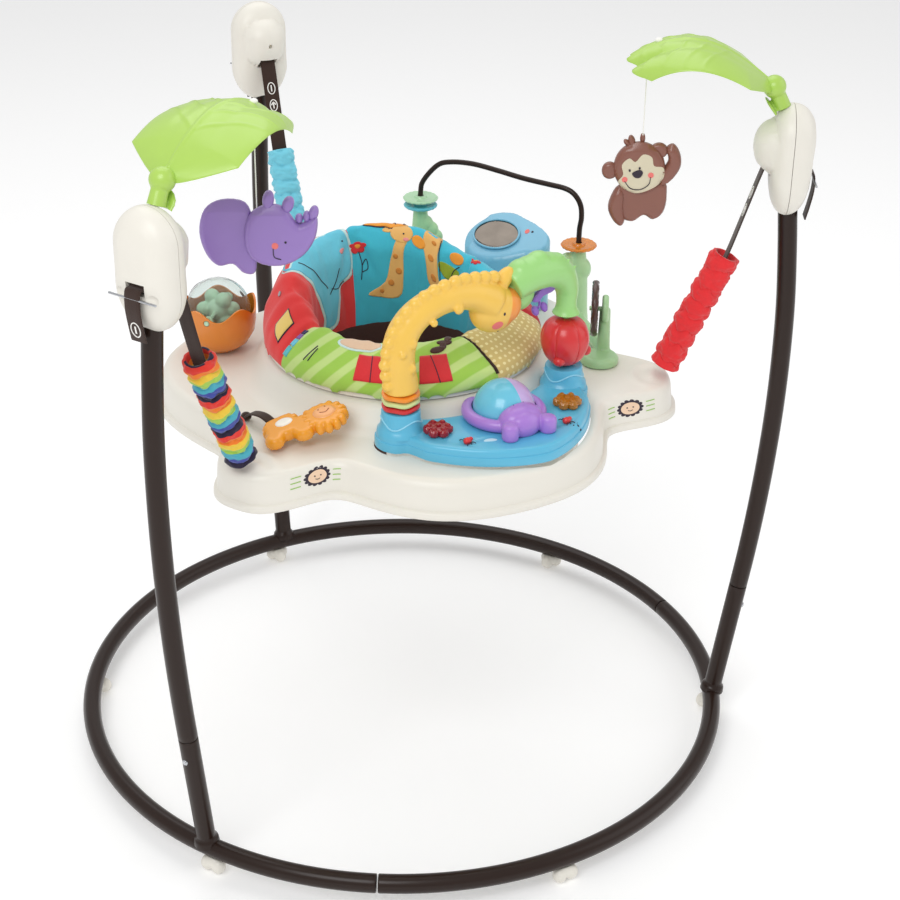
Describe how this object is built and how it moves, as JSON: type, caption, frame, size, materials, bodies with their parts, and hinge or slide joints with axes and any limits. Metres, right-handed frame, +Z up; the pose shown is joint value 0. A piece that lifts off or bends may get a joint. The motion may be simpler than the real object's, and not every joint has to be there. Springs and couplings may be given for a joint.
{
  "type": "activity jumper",
  "caption": "Baby activity jumper: bowed steel posts on a floor ring carry a sprung toy tray with a turning padded seat.",
  "frame": {"origin": "on the floor under the middle of the whole jumper's bounding box, 24 mm in front of the floor ring's centre", "axes": "+Z up, -Y towards the front, where the music console faces the seated child, +X to the right seen from the front"},
  "size_m": [0.8222, 0.8828, 0.8882],
  "materials": {
    "brown_paint": "dark brown gloss powder coat on steel tube",
    "cream_plastic": "off-white moulded plastic, semi-gloss",
    "brown_webbing": "dark brown woven polyester webbing",
    "leaf_green": "yellow-green moulded plastic, satin gloss",
    "spring_steel": "bright spring wire",
    "rainbow_cloth": "gathered plush cloth in rainbow bands",
    "red_cloth": "gathered coral red cloth",
    "aqua_cloth": "gathered aqua cloth",
    "seat_cloth": "padded printed cotton-polyester cloth",
    "sky_plastic": "sky blue moulded plastic, satin gloss",
    "circuit_green": "green circuit board with a speaker",
    "lilac_plastic": "lilac moulded plastic, satin gloss",
    "aqua_plastic": "light blue and lilac polished ball",
    "red_lens": "translucent dark red, faceted",
    "amber_lens": "translucent amber, soft gloss",
    "red_plastic": "red moulded plastic, gloss",
    "yellow_plastic": "yellow moulded plastic with a light green leafy half",
    "orange_plastic": "orange moulded plastic, gloss",
    "clear_plastic": "clear polished plastic",
    "mirror": "metallised plastic mirror",
    "mint_plastic": "mint green moulded plastic, satin gloss",
    "brown_plastic": "brown moulded plastic, satin gloss",
    "cream_ring": "pale green moulded plastic, satin gloss"
  },
  "bodies": {
    "frame": {"base_tube_rear": "brown_paint", "base_tube_left": "brown_paint", "base_tube_right": "brown_paint", "post_rear": "brown_paint", "post_left": "brown_paint", "post_right": "brown_paint", "foot_1": "cream_plastic", "foot_2": "cream_plastic", "foot_3": "cream_plastic", "foot_4": "cream_plastic", "foot_5": "cream_plastic", "foot_6": "cream_plastic", "housing_outer_rear": "cream_plastic", "housing_outer_left": "cream_plastic", "housing_outer_right": "cream_plastic", "housing_inner_rear": "cream_plastic", "housing_inner_left": "cream_plastic", "housing_inner_right": "cream_plastic", "strap_rear": "brown_webbing", "strap_left": "brown_webbing", "strap_right": "brown_webbing", "spring_rear": "spring_steel", "spring_left": "spring_steel", "spring_right": "spring_steel", "sleeve_rear": "aqua_cloth", "sleeve_left": "rainbow_cloth", "sleeve_right": "red_cloth", "leaf_left": "leaf_green", "leaf_right": "leaf_green"},
    "tray": {"tray_deck": "cream_plastic", "console_body": "sky_plastic", "console_tub": "cream_plastic", "sound_module": "circuit_green", "hippo_bezel": "lilac_plastic", "flower_red": "red_lens", "flower_amber": "amber_lens", "arch": "yellow_plastic", "rattle_cup": "orange_plastic", "mirror_stand": "sky_plastic", "mirror_glass": "mirror", "bead_rail": "brown_paint", "rail_pod_left": "mint_plastic", "rail_pod_right": "mint_plastic"},
    "seat": {"seat_ring": "cream_plastic", "seat_pad": "seat_cloth"},
    "roller_ball": {"roller_ball": "aqua_plastic"},
    "ring_red": {"ring_red": "red_plastic"},
    "ring_cream": {"ring_cream": "cream_ring"},
    "ring_orange": {"ring_orange": "orange_plastic"},
    "fruit_spinner": {"fruit_spinner": "red_plastic"},
    "bow_charm": {"bow_charm": "lilac_plastic"},
    "power_slider": {"power_slider": "red_plastic"},
    "mode_slider": {"mode_slider": "red_plastic"},
    "disc_pair": {"disc_pair": "mint_plastic"},
    "disc_orange": {"disc_orange": "orange_plastic"},
    "rattle_ball": {"rattle_ball": "clear_plastic"},
    "spinner_plaque": {"spinner_plaque": "brown_plastic"},
    "lion": {"lion_toy": "amber_lens"},
    "elephant": {"elephant_toy": "lilac_plastic"},
    "monkey": {"monkey_toy": "brown_plastic"}
  },
  "joints": [
    {"name": "bounce", "type": "slide", "parent": "frame", "child": "tray", "axis": [0, 0, 1], "range_m": [-0.1, 0], "stiffness_N_per_m": 1500, "springref_m": 0.025, "deforming": ["spring_rear", "spring_left", "spring_right", "sleeve_rear", "sleeve_left", "sleeve_right"]},
    {"name": "seat_swivel", "type": "hinge", "parent": "tray", "child": "seat", "pos_m": [0, -0.024, 0.515], "axis": [0, 0, 1], "continuous": true},
    {"name": "roller_ball_roll", "type": "hinge", "parent": "tray", "child": "roller_ball", "pos_m": [0.02417, -0.22908, 0.512], "axis": [0.9925, 0.1219, 0], "continuous": true},
    {"name": "ring_red_spin", "type": "hinge", "parent": "tray", "child": "ring_red", "pos_m": [-0.09032, -0.20334, 0.5305], "axis": [0, 0, 1], "continuous": true},
    {"name": "ring_cream_spin", "type": "hinge", "parent": "tray", "child": "ring_cream", "pos_m": [-0.09032, -0.20334, 0.5375], "axis": [0, 0, 1], "continuous": true},
    {"name": "ring_orange_spin", "type": "hinge", "parent": "tray", "child": "ring_orange", "pos_m": [-0.09032, -0.20334, 0.5445], "axis": [0, 0, 1], "continuous": true},
    {"name": "fruit_spin", "type": "hinge", "parent": "tray", "child": "fruit_spinner", "pos_m": [0.13102, -0.17617, 0.5548], "axis": [0, 0, 1], "continuous": true},
    {"name": "charm_swing", "type": "hinge", "parent": "tray", "child": "bow_charm", "pos_m": [0.09628, -0.18043, 0.629], "axis": [0.9925, 0.1219, 0], "range_deg": [-40, 40]},
    {"name": "power_switch", "type": "slide", "parent": "tray", "child": "power_slider", "axis": [0.9925, 0.1219, 0], "range_m": [-0.004, 0.004]},
    {"name": "mode_switch", "type": "slide", "parent": "tray", "child": "mode_slider", "axis": [0.9925, 0.1219, 0], "range_m": [0, 0.008]},
    {"name": "rattle_spin", "type": "hinge", "parent": "tray", "child": "rattle_ball", "pos_m": [-0.17797, 0.12011, 0.533], "axis": [-0.6293, -0.7771, 0], "continuous": true},
    {"name": "disc_pair_spin", "type": "hinge", "parent": "tray", "child": "disc_pair", "pos_m": [0.124, 0.182, 0.606], "axis": [0, 0, 1], "continuous": true},
    {"name": "disc_orange_spin", "type": "hinge", "parent": "tray", "child": "disc_orange", "pos_m": [0.25479, 0.00496, 0.583], "axis": [0, 0, 1], "continuous": true},
    {"name": "plaque_spin", "type": "hinge", "parent": "tray", "child": "spinner_plaque", "pos_m": [0.219, -0.097, 0.545], "axis": [0.848, -0.53, 0], "continuous": true},
    {"name": "lion_swing", "type": "hinge", "parent": "tray", "child": "lion", "pos_m": [-0.222, -0.076, 0.482], "axis": [0, 0, 1], "range_deg": [-30, 3]},
    {"name": "elephant_swing", "type": "hinge", "parent": "frame", "child": "elephant", "pos_m": [-0.23209, -0.158, 0.871], "axis": [0.5, -0.866, 0], "range_deg": [-25, 25]},
    {"name": "monkey_swing", "type": "hinge", "parent": "frame", "child": "monkey", "pos_m": [0.23209, -0.158, 0.871], "axis": [0.5, 0.866, 0], "range_deg": [-25, 25]}
  ]
}
